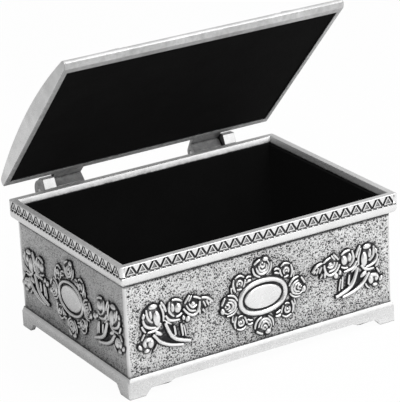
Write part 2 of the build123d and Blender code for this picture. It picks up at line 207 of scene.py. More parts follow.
def silver_finish(name, bright=0.8, blackening=1.0, rough=0.24, grain=0.04, dirt_reach=0.0012, pitted=0.0,
                  patchy=0.05):
    """Silver plate over cast metal: bright where it is rubbed, black patina where a cloth can't reach, and
    black where a piece's mark holds patina and painted shade.
    """
    material, shader, add = new_finish(name)
    links = material.node_tree.links
    place = material.node_tree.nodes.new("ShaderNodeTexCoord").outputs["Object"]
    smoke = add("ShaderNodeTexNoise", Vector=place, Scale=90.0, Detail=5.0, Roughness=0.6)
    pores = add("ShaderNodeTexNoise", Vector=place, Scale=1500.0, Detail=3.0, Roughness=0.65)
    rubs = add("ShaderNodeTexNoise", Vector=place, Scale=420.0, Detail=4.0, Roughness=0.7)
    corners = add("ShaderNodeAmbientOcclusion", {"samples": 8, "only_local": False}, Distance=dirt_reach)
    deep = add("ShaderNodeMapRange", {"interpolation_type": "SMOOTHSTEP"},
               Value=corners.node.outputs["AO"], From_Min=0.86, From_Max=0.38, To_Min=0.0, To_Max=blackening)
    pits = add("ShaderNodeMapRange", {"interpolation_type": "SMOOTHSTEP"},
               Value=pores, From_Min=0.40, From_Max=0.30, To_Min=0.0, To_Max=0.14 * blackening)
    black = add("ShaderNodeMath", {"operation": "ADD", "use_clamp": True}, i0=deep, i1=pits)
    # A per-point mark blackens the colour: patina in hollows and, on some pieces, painted shade.
    oxide_and_shade_mark = material.node_tree.nodes.new("ShaderNodeAttribute")
    oxide_and_shade_mark.attribute_name = "oxide_and_shade"
    broken = add("ShaderNodeMapRange", Value=rubs, From_Min=0.3, From_Max=0.7, To_Min=0.75, To_Max=1.25)
    held = add("ShaderNodeMath", {"operation": "MULTIPLY"}, i0=oxide_and_shade_mark.outputs["Fac"], i1=broken)
    black = add("ShaderNodeMath", {"operation": "ADD", "use_clamp": True}, i0=black, i1=held)
    height = pores
    if pitted:
        field = material.node_tree.nodes.new("ShaderNodeAttribute")
        field.attribute_name = "field"
        punched = add("ShaderNodeTexVoronoi", Vector=place, Scale=1500.0, Randomness=1.0)
        chance = material.node_tree.nodes.new("ShaderNodeSeparateColor")
        links.new(punched.node.outputs["Color"], chance.inputs[0])
        size = add("ShaderNodeMapRange", Value=chance.outputs[0], To_Min=0.1, To_Max=0.62)
        holes = add("ShaderNodeMath", {"operation": "SUBTRACT"}, i0=size, i1=punched)
        depth = add("ShaderNodeMapRange", Value=chance.outputs[1], To_Min=0.9 * pitted, To_Max=pitted)
        dots = add("ShaderNodeMapRange", Value=holes, From_Min=0.0, From_Max=0.06, To_Min=0.0, To_Max=depth)
        salt = add("ShaderNodeTexNoise", Vector=place, Scale=2300.0, Detail=2.0, Roughness=0.6)
        speck = add("ShaderNodeMapRange", Value=salt, From_Min=0.47, From_Max=0.41, To_Min=0.0,
                    To_Max=0.58 * pitted)
        dots = add("ShaderNodeMath", {"operation": "MAXIMUM"}, i0=dots, i1=speck)
        spots = add("ShaderNodeMath", {"operation": "MULTIPLY"}, i0=dots, i1=field.outputs["Fac"])
        black = add("ShaderNodeMath", {"operation": "ADD", "use_clamp": True}, i0=black, i1=spots)
        height = add("ShaderNodeMath", {"operation": "MULTIPLY_ADD"}, i0=spots, i1=-2.5, i2=pores)
    plate = add("ShaderNodeMapRange", Value=smoke, From_Min=0.3, From_Max=0.7,
                To_Min=bright * (1 - 1.4 * patchy), To_Max=bright * (1 + 0.8 * patchy))
    tone = add("ShaderNodeCombineColor", i0=plate, i1=plate, i2=plate)
    colour = material.node_tree.nodes.new("ShaderNodeMix")
    colour.data_type = "RGBA"
    links.new(black, colour.inputs["Factor"])
    links.new(tone, colour.inputs[6])
    colour.inputs[7].default_value = (0.022, 0.022, 0.024, 1)
    links.new(colour.outputs[2], shader.inputs["Base Color"])
    matt = material.node_tree.nodes.new("ShaderNodeAttribute")
    matt.attribute_name = "matt"
    metal = add("ShaderNodeMapRange", Value=black, From_Min=0.0, From_Max=1.0, To_Min=0.93, To_Max=0.55)
    shine = add("ShaderNodeMath", {"operation": "MULTIPLY_ADD"}, i0=matt.outputs["Fac"], i1=-0.5, i2=metal)
    links.new(shine, shader.inputs["Metallic"])
    worn = add("ShaderNodeMapRange", Value=rubs, From_Min=0.3, From_Max=0.7,
               To_Min=rough - 0.05, To_Max=rough + 0.07)
    worn = add("ShaderNodeMath", {"operation": "MULTIPLY_ADD"}, i0=matt.outputs["Fac"], i1=0.3, i2=worn)
    dull = add("ShaderNodeMath", {"operation": "MULTIPLY_ADD"}, i0=black, i1=0.22, i2=worn)
    links.new(dull, shader.inputs["Roughness"])
    skin = add("ShaderNodeBump", Strength=grain, Distance=0.0002, Height=height)
    links.new(skin, shader.inputs["Normal"])
    return material


def paint_shade_on_faces(piece, strength, test):
    """Darken those faces of a piece that a test picks by their normals: a thin painted shade where little
    light falls.
    """
    mark = piece.data.attributes.new("oxide_and_shade", "FLOAT", "POINT")
    for face in piece.data.polygons:
        if test(face.normal):
            for corner in face.vertices:
                mark.data[corner].value = strength


def scuffed(piece, test):
    """Mark how dull the polish is at each point of a piece."""
    mark = piece.data.attributes.new("matt", "FLOAT", "POINT")
    for point in piece.data.vertices:
        mark.data[point.index].value = test(point.co * 1000)


silver = silver_finish("silver plate, rubbed bright", bright=0.87)
plinth = softened("base_frame", 0.00018)
# Painted shade on the plinth's left-facing faces, and the same thin darkening on its sloped bevels.
paint_shade_on_faces(plinth, 0.12, lambda normal: normal.x < -0.95 or 0.2 < normal.z < 0.7)
scuffed(plinth, lambda place: 0.6 * (place.z > 6.35))
fit(plinth, "plinth", "box", silver, "antique_silver", "base_frame")

# Bottom plate: a loose sheet that drops onto the plinth's ledge from inside and closes the box from
# below. It is plated like the rest but never rubbed, so it is duller.
plate_silver = silver_finish("silver plate, dull", bright=0.6, blackening=1.2, rough=0.42, grain=0.12)
bottom = softened("bottom_plate", 0.00015)
fit(bottom, "bottom_sheet", "box", plate_silver, "antique_silver", "bottom_plate")


# Walls: four thin castings between the plinth and the rim. The ground is stippled and blackened, the
# oval cartouche and the roses stand up from it and are rubbed bright. Here is the rose carver's work:
# each form is modelled once, in millimetres on a flat wall, as pads with rolled petal edges over them.
def pad_height(pads, x, y):
    """How high the pads of a form stand over a point."""
    high = 0
    for centre_x, centre_y, half_long, half_wide, height, turn in pads:
        along = math.radians(turn)
        across_x, across_y = x - centre_x, y - centre_y
        u = (across_x * math.cos(along) + across_y * math.sin(along)) / half_long
        v = (across_y * math.cos(along) - across_x * math.sin(along)) / half_wide
        if u * u + v * v < 1:
            high = max(high, height * math.sqrt(1 - u * u - v * v))
    return high


def bowl(centre_x, centre_y, half_wide, half_high, start, stop, count=7):
    """Points along part of an oval, between two angles in degrees."""
    turns = [math.radians(start + (stop - start) * step / (count - 1)) for step in range(count)]
    return [(centre_x + half_wide * math.cos(t), centre_y + half_high * math.sin(t)) for t in turns]


def blacken_hollows(form, spread=14, low=0.02, high=0.12, bed_top=0.6, bed_fade=0.16):
    """Mark where the oxide stays on a carved form: on its low bed, and below what is round a point."""
    count = len(form.data.vertices)
    places = np.empty(count * 3)
    form.data.vertices.foreach_get("co", places)
    height = places[2::3]
    ends = np.empty(len(form.data.edges) * 2, int)
    form.data.edges.foreach_get("vertices", ends)
    first, second = ends[::2], ends[1::2]
    neighbours = np.bincount(ends, minlength=count)
    calm = height.copy()
    for step in range(spread):
        around = np.bincount(first, calm[second], count) + np.bincount(second, calm[first], count)
        calm = (calm + around / neighbours) / 2
    black = np.clip((calm - height - low) / (high - low), 0, 1)
    bed = np.clip((bed_top - height) / bed_fade, 0, 1)
    black = np.maximum(black, bed)
    mark = form.data.attributes.new("oxide_and_shade", "FLOAT", "POINT")
    mark.data.foreach_set("value", black.astype(np.float32))


def carved(name, pads, petals, beads=(), stems=(), skin=0.16, proud=0.75, root=0.25):
    """A carved form: oval pads, petal edges that taper to both ends, stems and beads, cast as one."""
    pieces = []
    for centre_x, centre_y, half_long, half_wide, height, turn in pads:
        bpy.ops.mesh.primitive_uv_sphere_add(
            segments=20, ring_count=12, location=(centre_x, centre_y, 0), rotation=(0, 0, math.radians(turn)),
            scale=(half_long, half_wide, height),
        )
        pieces.append(bpy.context.object)
    for x, y, radius in beads:
        bpy.ops.mesh.primitive_uv_sphere_add(
            segments=10, ring_count=8, location=(x, y, pad_height(pads, x, y) + 0.1), scale=(radius,) * 3
        )
        pieces.append(bpy.context.object)
    line = bpy.data.curves.new(name + "_edges", "CURVE")
    line.dimensions = "3D"
    line.bevel_depth = 1
    line.bevel_resolution = 2
    line.use_fill_caps = True
    petal_fat, petal_tip, stem_fat, stem_tip = 1.2, 0.62, 1.25, 0.75
    strokes = [(girth * petal_fat, petal_tip, points) for girth, points in petals]
    strokes += [(girth * stem_fat, stem_tip, points) for girth, points in stems]
    for girth, tip, points in strokes:
        spline = line.splines.new("NURBS")
        spline.points.add(len(points) - 1)
        for step, (x, y) in enumerate(points):
            swell = tip + (1 - tip) * math.sin(math.pi * step / (len(points) - 1))
            spline.points[step].co = (x, y, pad_height(pads, x, y) + girth * proud, 1)
            spline.points[step].radius = girth * swell
        spline.order_u = 3
        spline.use_endpoint_u = True
        spline.resolution_u = 5
    edges = bpy.data.objects.new(name + "_edges", line)
    bpy.context.collection.objects.link(edges)
    pick(edges)
    bpy.ops.object.convert(target="MESH")
    for piece in pieces:
        piece.select_set(True)
    bpy.ops.object.join()
    form = bpy.context.object
    bpy.ops.object.transform_apply(location=True, rotation=True, scale=True)
    work(form, "REMESH", mode="VOXEL", voxel_size=skin)
    work(form, "SMOOTH", factor=0.5, iterations=1)
    edit(form, "faces", lambda face: True)
    bpy.ops.mesh.bisect(plane_co=(0, 0, -root), plane_no=(0, 0, 1), use_fill=True, clear_inner=True)
    bpy.ops.object.mode_set(mode="OBJECT")
    bpy.ops.object.shade_smooth()
    blacken_hollows(form)
    form.name = name
    return form


# A rose of the cartouche: cupped petals one inside the other, open towards its outer side
rose = carved(
    "cartouche_rose",
    [(0, -0.1, 3.9, 3.5, 0.42, 0), (1.75, 2.8, 1.4, 1.0, 1.15, -12)],
    [(0.46, [(-4.0, 0.5), (-3.8, -1.4), (-2.7, -2.9), (-0.9, -3.7)]),
     (0.4, [(4.1, 1.2), (4.15, -0.6), (3.4, -2.4), (1.9, -3.5)]),
     (0.42, bowl(0.25, 0.3, 2.8, 3.1, 180, 360)), (0.4, bowl(0.3, 0.6, 1.8, 2.25, 176, 364)),
     (0.36, bowl(0.25, 1.2, 0.95, 1.25, 168, 372)), (0.5, [(-3.4, 1.6), (-2.3, 2.6), (-0.7, 3.2)]),
     (0.34, [(2.5, 1.9), (3.1, 1.2), (3.2, 0.5)])],
    [(0.25, 1.6, 0.42)],
)

# A bud with leaves, which fills each corner between two roses of the cartouche
corner_bud = carved(
    "cartouche_bud",
    [(10.1, 7.7, 2.4, 2.6, 0.42, 0), (6.3, 8.5, 1.7, 1.1, 0.38, 0), (12.8, 5.8, 1.1, 2.0, 0.4, -18)],
    [(0.36, bowl(10.2, 7.7, 1.25, 1.35, -40, 235)),
     (0.42, [(8.0, 9.7), (9.0, 10.7), (10.6, 10.8), (12.0, 10.0)]),
     (0.44, [(12.4, 9.8), (13.0, 8.2), (12.8, 6.4), (12.1, 4.8)]),
     (0.36, [(13.7, 6.9), (13.9, 5.6), (13.4, 4.3)]),
     (0.4, [(7.6, 8.8), (7.7, 7.2), (8.6, 5.9)]), (0.36, [(9.2, 5.4), (10.4, 5.0), (11.3, 5.7)]),
     (0.44, [(5.0, 9.2), (6.1, 9.9), (7.3, 9.1)]), (0.4, [(5.1, 8.0), (6.3, 8.0), (7.2, 7.2)])],
    [(10.2, 7.7, 0.5)],
)

# The side spray: a full rose and a half-open one with leaves between them, a bud under them and stems
side_spray = carved(
    "side_spray",
    [(-47.9, 29.4, 3.9, 4.9, 0.42, 0), (-38.2, 29.9, 3.5, 4.1, 0.42, 0), (-49.9, 19.9, 2.4, 2.6, 0.42, 0),
     (-45.4, 28.7, 1.5, 3.2, 1.4, 2), (-48.0, 30.6, 0.7, 1.9, 1.15, 6), (-46.8, 33.6, 2.0, 1.15, 1.2, 0),
     (-50.9, 30.8, 0.75, 1.3, 1.0, -8), (-38.8, 31.1, 0.9, 1.9, 1.25, 0), (-36.4, 30.5, 1.45, 2.0, 1.3, -8),
     (-44.9, 22.7, 1.9, 0.95, 1.1, -32), (-52.9, 19.1, 1.35, 0.8, 1.1, -62), (-50.2, 17.2, 1.3, 0.8, 1.1, 5),
     (-51.0, 19.9, 0.85, 1.5, 1.2, 12), (-48.3, 19.7, 1.25, 2.0, 1.25, -6), (-49.6, 21.4, 2.0, 0.9, 1.25, 8),
     (-32.5, 25.2, 1.1, 1.35, 1.15, -20), (-34.3, 26.0, 0.75, 1.1, 1.0, 10)],
    [(0.46, [(-49.75, 33.2), (-49.65, 31.0), (-49.1, 29.0), (-47.5, 27.7)]),
     (0.54, [(-51.3, 29.6), (-51.1, 28.0), (-50.0, 26.6), (-48.0, 25.7), (-46.0, 25.4)]),
     (0.52, [(-51.9, 27.3), (-51.5, 25.8), (-50.4, 24.5)]),
     (0.54, [(-49.7, 24.2), (-47.2, 24.1), (-45.2, 24.8), (-43.9, 26.6)]),
     (0.46, [(-44.0, 33.7), (-43.0, 31.4), (-42.6, 29.2), (-42.8, 26.9)]),
     (0.54, [(-43.6, 34.7), (-42.2, 33.2), (-41.6, 30.4)]),
     (0.46, [(-50.9, 23.9), (-51.7, 23.0), (-52.2, 21.7)]),
     (0.42, [(-45.8, 18.7), (-46.2, 17.3), (-47.6, 16.4)]),
     (0.46, [(-39.9, 33.7), (-40.5, 31.7), (-40.3, 29.4), (-38.4, 27.8)]),
     (0.54, [(-38.9, 34.1), (-36.8, 34.4), (-34.9, 32.9)]),
     (0.54, [(-41.8, 29.0), (-41.0, 27.2), (-39.1, 26.1), (-36.0, 25.9)]),
     (0.46, [(-37.7, 27.5), (-36.3, 27.1), (-34.9, 28.2)]),
     (0.4, [(-42.3, 27.3), (-41.1, 25.8), (-39.4, 24.9)])],
    [],
    [(0.66, [(-42.2, 26.2), (-41.2, 23.4), (-39.9, 20.4), (-37.8, 18.6), (-35.0, 17.5), (-32.0, 16.5)]),
     (0.6, [(-47.5, 22.9), (-46.4, 21.7), (-45.4, 20.2), (-43.9, 18.8), (-41.0, 17.2), (-37.8, 16.3),
            (-35.0, 15.8)]),
     (0.46, [(-38.5, 24.1), (-38.1, 22.2), (-38.0, 20.3)]),
     (0.44, [(-35.5, 24.2), (-35.3, 21.8), (-34.9, 19.2)]),
     (0.36, [(-34.5, 23.4), (-33.9, 21.0), (-33.7, 18.6)])],
)

# The inner rose of the long walls' sprays, with the pointed bud that ends the spray
inner_rose = carved(
    "inner_rose",
    [(-30.8, 29.9, 3.3, 3.7, 0.42, 0), (-24.9, 29.6, 2.6, 1.7, 0.42, -22), (-26.5, 26.9, 1.3, 1.0, 0.42, 0),
     (-30.0, 30.5, 0.95, 0.8, 1.1, 0)],
    [(0.52, [(-34.3, 29.6), (-33.3, 28.1), (-31.7, 26.6), (-29.8, 25.9), (-28.1, 27.2), (-27.3, 29.2),
             (-27.3, 30.9)]),
     (0.42, [(-33.1, 30.7), (-32.4, 29.0), (-30.9, 27.8), (-29.2, 27.7)]),
     (0.38, [(-31.9, 31.0), (-31.2, 29.6), (-29.8, 29.0), (-28.6, 29.9)]),
     (0.5, [(-33.7, 31.5), (-32.7, 32.9), (-31.4, 34.2)]),
     (0.38, [(-32.1, 31.9), (-31.2, 32.8), (-30.5, 33.9)]),
     (0.5, [(-30.0, 33.2), (-28.3, 32.8), (-26.8, 31.6)]),
     (0.52, [(-26.4, 31.9), (-24.6, 31.7), (-22.9, 30.5), (-21.7, 29.1)]),
     (0.38, [(-26.0, 30.5), (-25.4, 29.4), (-24.9, 28.1)]),
     (0.38, [(-24.5, 30.5), (-24.0, 29.4), (-23.6, 28.2)]),
     (0.36, [(-23.1, 29.5), (-22.8, 28.9), (-22.4, 28.4)]),
     (0.42, [(-27.4, 27.7), (-27.5, 26.6), (-27.4, 25.6)]),
     (0.4, [(-26.1, 27.5), (-25.8, 26.7), (-25.3, 26.0)])],
)


def copied(form, wall, x=0, y=0, turn=0, size=1, mirrored=False, lie=None, squeeze=1):
    """A copy of a carved form, reduced to metres and set on a wall, with a mesh of its own."""
    copy = bpy.data.objects.new(form.name + "_copy", form.data.copy())
    bpy.context.collection.objects.link(copy)
    place = Matrix.Diagonal((squeeze, 1, 1, 1)) @ Matrix.Translation((x, y, 0))
    place = place @ Matrix.Rotation(math.radians(turn), 4, "Z")
    place = place @ Matrix.Diagonal((-size if mirrored else size, size, 1, 1))
    copy.data.transform(place)
    if lie:
        for point in copy.data.vertices:
            point.co.z += lie(point.co.x, point.co.y)
    copy.data.transform(wall @ Matrix.Scale(0.001, 4))
    if mirrored:
        copy.data.flip_normals()
    return copy


def wreath(wall, middle, size=1, lie=None, squeeze=1):
    """The four roses and four buds that stand round a cartouche, its middle that high on a wall."""
    around = []
    for x, y, turn, flip in ((-0.2, 11.8, 0, False), (-0.2, -11.65, 180, True), (15.1, 0.1, -90, False),
                             (-14.9, 0.2, 90, True)):
        around.append(copied(rose, wall, x * size, middle + y * size, turn, size, flip, lie, squeeze))
    for flip, upside in ((False, False), (True, False), (True, True), (False, True)):
        turn = 180 if upside else 0
        around.append(copied(corner_bud, wall, 0, middle, turn, size, flip != upside, lie, squeeze))
    return around


def joined(pieces):
    """Several pieces made one."""
    pick(pieces[0])
    for piece in pieces:
        piece.select_set(True)
    bpy.ops.object.join()
    return bpy.context.object


def cartouche(half_wide, half_high, ring_half, groove, proud=0.975):
    """The plain oval of a wall: a rounded ring and inside it, past a groove, a plaque with a low crown."""
    bpy.ops.curve.primitive_bezier_circle_add(radius=1)
    ring = bpy.context.object
    for knot in ring.data.splines[0].bezier_points:
        for point in (knot.co, knot.handle_left, knot.handle_right):
            point.x *= half_wide - ring_half
            point.y *= half_high - ring_half
            point.z = proud - ring_half
    ring.data.splines[0].resolution_u = 24
    ring.data.bevel_depth = ring_half
    ring.data.bevel_resolution = 4
    bpy.ops.object.convert(target="MESH")
    ring = bpy.context.object
    bpy.ops.mesh.primitive_circle_add(vertices=64, radius=1, fill_type="NGON")
    plaque = bpy.context.object
    inset = 2 * ring_half + groove
    plaque.scale = (half_wide - inset, half_high - inset, 1)
    bpy.ops.object.transform_apply(scale=True)
    edit(plaque, "faces", lambda face: True)
    steps_to_crown = ((0.35, 1), (0.17, 0.985), (0.13, 0.955), (0.08, 0.9), (0.09, 0.66), (0.06, 0.5))
    for rise, shrink in steps_to_crown:
        bpy.ops.mesh.extrude_region_move(TRANSFORM_OT_translate={"value": (0, 0, rise)})
        bpy.ops.transform.resize(value=(shrink, shrink, 1), center_override=(0, 0, 0))
    bpy.ops.mesh.poke()
    bpy.ops.object.mode_set(mode="OBJECT")
    oval = joined([ring, plaque])
    bpy.ops.object.shade_smooth_by_angle(angle=math.radians(60))
    return oval


# Sizes of a wall, in millimetres, with the heights as on the standing box
wall_bottom, wall_top, wall_thickness, corner_round = 8.0, 44.6, 1.3, 0.6
stipple = bpy.data.textures.new("cast stipple", "CLOUDS")
stipple.noise_scale = 0.0007
stipple.noise_depth = 1


def ground(wall, half_length, rounded):
    """A wall's ground: a finely divided slab whose face can take the stipple, its ends rounded or not."""
    flat = half_length - (corner_round if rounded else 0)
    cell = 0.36
    bpy.ops.mesh.primitive_grid_add(
        x_subdivisions=round(2 * flat / cell), y_subdivisions=round((wall_top - wall_bottom) / cell), size=1,
        location=(0, (wall_top + wall_bottom) / 2, 0),
    )
    slab = bpy.context.object
    slab.scale = (2 * flat, wall_top - wall_bottom, 1)
    bpy.ops.object.transform_apply(location=True, scale=True)
    if rounded:
        for side in (-1, 1):
            edit(slab, "edges", lambda edge: all(side * end.co.x > flat - 0.01 for end in edge.verts))
            bpy.ops.mesh.spin(steps=5, angle=-side * math.pi / 2, center=(side * flat, 0, -corner_round),
                              axis=(0, 1, 0))
    edit(slab, "edges", lambda edge: edge.is_boundary)
    bpy.ops.mesh.extrude_region_move()
    bpy.ops.transform.resize(value=(1, 1, 0), center_override=(0, 0, -wall_thickness))
    bpy.ops.mesh.edge_face_add()
    edit(slab, "faces", lambda face: True)
    bpy.ops.mesh.normals_make_consistent(inside=False)
    bpy.ops.object.mode_set(mode="OBJECT")
    return slab


def ease(low, high, value):
    """A smooth step from 0 at low to 1 at high."""
    t = min(max((value - low) / (high - low), 0), 1)
    return t * t * (3 - 2 * t)


def stippled(slab, wall, face, relief, halo, shade=None):
    """Stipple the ground of a wall, then blacken its dents, blacken round its relief with patina and painted
    shade, and add what a shade function paints.
    """
    slab.data.transform(wall @ Matrix.Scale(0.001, 4))
    back = wall.inverted()
    outward = wall.to_3x3() @ Vector((0, 0, 1))
    group = slab.vertex_groups.new(name="stippled")
    start = [point.co.copy() for point in slab.data.vertices]
    for point in slab.data.vertices:
        group.add([point.index], face(back @ point.co * 1000), "REPLACE")
    work(slab, "DISPLACE", texture=stipple, strength=0.0005, mid_level=0.5, vertex_group="stippled",
         texture_coords="LOCAL")
    near = kdtree.KDTree(len(relief.data.vertices))
    for point in relief.data.vertices:
        near.insert(point.co, point.index)
    near.balance()
    mark = slab.data.attributes.new("oxide_and_shade", "FLOAT", "POINT")
    field = slab.data.attributes.new("field", "FLOAT", "POINT")
    for point in slab.data.vertices:
        place = back @ start[point.index] * 1000
        low = (start[point.index] - point.co).dot(outward) * 1000
        gap = near.find(point.co)[2] * 1000
        in_dent = 0.15 * ease(0.0, 0.1, low) * face(place)
        # Round the relief: a narrow black rim, patina and painted shade at its foot, and a broad faint
        # painted shade further out.
        by_relief = halo * ease(0.85, 0.25, gap) + 0.18 * ease(3, 0.8, gap)
        black = in_dent + by_relief + (shade(place) if shade else 0)
        mark.data[point.index].value = min(black, 1)
        field.data[point.index].value = face(place)
    bpy.ops.object.shade_smooth_by_angle(angle=math.radians(60))


# The rim's corners and, halfway between them, the middle of the body, in millimetres
rim_low, rim_high = (corner * 1000 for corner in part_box("rim_frame"))
body_middle = (rim_low.y + rim_high.y) / 2


def wall_place(outward_turn, reach):
    """Where a wall stands: its face's plane, from the flat drawing with X along it and Y upwards."""
    middle = Matrix.Translation((0, body_middle / 1000, 0))
    middle = middle @ Matrix.Rotation(math.radians(outward_turn), 4, "Z")
    return middle @ Matrix.Translation((0, -reach / 1000, 0)) @ Matrix.Rotation(math.pi / 2, 4, "X")


relief_silver = silver_finish("silver plate, carved and rubbed", bright=0.9, blackening=0.7, rough=0.28,
                              dirt_reach=0.0007)
ground_silver = silver_finish("silver plate, stippled", bright=0.88, blackening=0.9, rough=0.34, grain=0.2,
                              pitted=1.0)
# Darker copies of the carved and stippled finishes for the side walls, with weaker pits: they paint the shade
# in which the side walls stand.
side_shaded_relief = silver_finish("silver plate, carved, in side shade", bright=0.78, blackening=0.8, rough=0.28,
                           dirt_reach=0.0007)
side_shaded_ground = silver_finish("silver plate, stippled, in side shade", bright=0.62, blackening=0.7, rough=0.36,
                           grain=0.15, pitted=0.6)
# From the middle of the body to the ground of a long wall and of a side wall
wall_front, wall_side = 41.05, 57.8
cartouche_height = 25.4
# Where the stems of a spray gather, along a wall from its middle and up it
stems_along, stems_up = 40.6, 21.3
for side, turn in (("front", 0), ("left", -90), ("back", 180), ("right", 90)):
    is_long = side in ("front", "back")
    wall = wall_place(turn, wall_front if is_long else wall_side)
    half_length = wall_side if is_long else wall_front - wall_thickness
    spray_shift = 0 if is_long else 14.0
    raised = wreath(wall, cartouche_height, squeeze=1 if is_long else 0.86)
    for flip in (False, True):
        raised.append(copied(side_spray, wall, -spray_shift if flip else spray_shift, mirrored=flip))
        if is_long:
            raised.append(copied(inner_rose, wall, mirrored=flip))
    oval = cartouche(10.85, 7.3, 0.975, 0.9) if is_long else cartouche(9.7, 6.95, 0.58, 0.9)
    oval.data.transform(wall @ Matrix.Scale(0.001, 4) @ Matrix.Translation((0, cartouche_height, 0)))
    relief = joined([*raised, oval])
    slab = ground(wall, half_length, is_long)

    margin, worked = ((0.4, 1.2), 1) if is_long else ((0, 0.8), 0.9)
    # How deep the painted shade along the foot of the wall is: deeper on the side walls.
    foot_shade = 0.22 if is_long else 0.4

    def face(place):
        """How strongly a place on the wall is stippled: fully on its field, not at its ends and edges."""
        inside = ease(0.1, 0.6, place.z + corner_round)
        return worked * inside * ease(*margin, half_length - abs(place.x)) * ease(0, 0.4, wall_top - place.y)

    def shade(place):
        """Painted shade towards the wall's middle and along the plinth, painted shadow with patina under the
        rim, and the patina that gathers among the stems of the sprays.
        """
        along = abs(place.x)
        edges = 0.1 * ease(45, 15, along) + foot_shade * ease(15, 8.5, place.y)
        edges += 0.4 * ease(9.2, 8.3, place.y) + 0.85 * ease(43.0, 43.8, place.y)
        from_stems = math.hypot((along + spray_shift - stems_along) / 4.6, (place.y - stems_up) / 3.6)
        return edges + ease(1.3, 0.6, from_stems)

    stippled(slab, wall, face, relief, 0.95 if is_long else 0.65, shade)
    # The side walls take the darker copies, whose colour paints their shade.
    slab_finish, relief_finish = (ground_silver, relief_silver) if is_long else (side_shaded_ground, side_shaded_relief)
    fit(slab, side + "_wall_ground", "box", slab_finish, "antique_silver", side + "_wall")
    fit(relief, side + "_wall_roses", "box", relief_finish, "antique_silver", side + "_wall")

# Rim: a cast frame with a flat top that carries a zigzag band over a plain one. The band is cut back
# between its teeth and blackened there, and the teeth are rubbed bright.
rim = softened("rim_frame", 0.00012, 1)
rim_side, rim_front = rim_high.x, rim_high.y - body_middle
groove_middle, band_bottom, band_top, cut_back = 48.3, 48.6, 52.14, 0.5
zigzag_side, zigzag_front, slope_cut = 58.2, 41.85, 50.7
for place, facing in (((0, 0, band_top), (0, 0, 1)), ((0, 0, slope_cut), (0, 0, 1)),
                      ((zigzag_side, 0, 0), (1, 0, 0)), ((-zigzag_side, 0, 0), (1, 0, 0)),
                      ((0, body_middle + zigzag_front, 0), (0, 1, 0)),
                      ((0, body_middle - zigzag_front, 0), (0, 1, 0))):
    edit(rim, "faces", lambda face: True)
    bpy.ops.mesh.bisect(plane_co=Vector(place) / 1000, plane_no=facing)


def on_band(face):
    """Whether a face of the rim lies on the zigzag band."""
    x, y, z = face.calc_center_median() * 1000
    along_x, along_y = abs(x), abs(y - body_middle)
    return band_bottom < z < band_top and (
        abs(face.normal.x) > 0.99 and along_x > rim_side - 0.1 and along_y < zigzag_front
        or abs(face.normal.y) > 0.99 and along_y > rim_front - 0.05 and along_x < zigzag_side
    )


edit(rim, "faces", on_band)
bpy.ops.mesh.inset(thickness=0.00002, depth=-cut_back / 1000)
recess = [tuple(point.co) for point in bmesh.from_edit_mesh(rim.data).verts if point.select]
bpy.ops.object.mode_set(mode="OBJECT")


def cut_shape(middle, half_wide, half_high, dish):
    """A three-cornered tooth or rib of the zigzag, standing on the band's cut-back floor."""
    bpy.ops.mesh.primitive_circle_add(vertices=3, radius=1, fill_type="NGON", location=(0, middle, -cut_back))
    shape = bpy.context.object
    shape.scale = (half_wide, half_high, 1)
    bpy.ops.object.transform_apply(location=True, scale=True)
    edit(shape, "faces", lambda face: True)
    bpy.ops.mesh.extrude_region_move(TRANSFORM_OT_translate={"value": (0, 0, cut_back - 0.03)})
    bpy.ops.mesh.bevel(offset=0.08, segments=1, affect="EDGES")
    if dish:
        edit(shape, "faces", lambda face: face.normal.z > 0.99 and face.calc_area() > 1)
        bpy.ops.mesh.inset(thickness=dish, depth=0)
        bpy.ops.mesh.inset(thickness=0.12, depth=-0.26)
    edit(shape, "faces", lambda face: True)
    bpy.ops.mesh.normals_make_consistent(inside=False)
    bpy.ops.object.mode_set(mode="OBJECT")
    bpy.ops.mesh.primitive_cube_add(size=1, location=(0, groove_middle, -0.16), scale=(0.75, 0.56, 0.28))
    return joined([shape, bpy.context.object])


# A dished rib stands point upwards, and between two ribs hangs a tooth. Both rows bridge the groove
rib = cut_shape(49.98, 2.2, 2.12, 0.34)
tooth = cut_shape(51.34, 1.8, -1.72, 0)
teeth = []
for turn, reach, count, pitch in ((0, rim_front, 24, 4.85), (180, rim_front, 24, 4.85),
                                  (-90, rim_side, 18, 4.65), (90, rim_side, 18, 4.65)):
    for shape, number in ((rib, count), (tooth, count + 1)):
        row = bpy.data.objects.new("row", shape.data.copy())
        bpy.context.collection.objects.link(row)
        work(row, "ARRAY", count=number, use_relative_offset=False, use_constant_offset=True,
             constant_offset_displace=(pitch, 0, 0))
        row.data.transform(Matrix.Translation((-pitch * (number - 1) / 2, 0, 0)))
        for end in (-1, 1):
            edit(row, "faces", lambda face: True)
            bpy.ops.mesh.bisect(plane_co=(end * pitch * count / 2, 0, 0), plane_no=(end, 0, 0), use_fill=True,
                                clear_outer=True)
        bpy.ops.object.mode_set(mode="OBJECT")
        mark = row.data.attributes.new("oxide_and_shade", "FLOAT", "POINT")
        for point in row.data.vertices:
            mark.data[point.index].value = 0.9 * ease(-0.05, -0.42, point.co.z)
        row.data.transform(wall_place(turn, reach) @ Matrix.Scale(0.001, 4))
        teeth.append(row)


def within(place, inset):
    """Whether a place lies that far inside the rim's outer faces, or further."""
    return abs(place.x) < rim_side - inset and abs(place.y - body_middle) < rim_front - inset


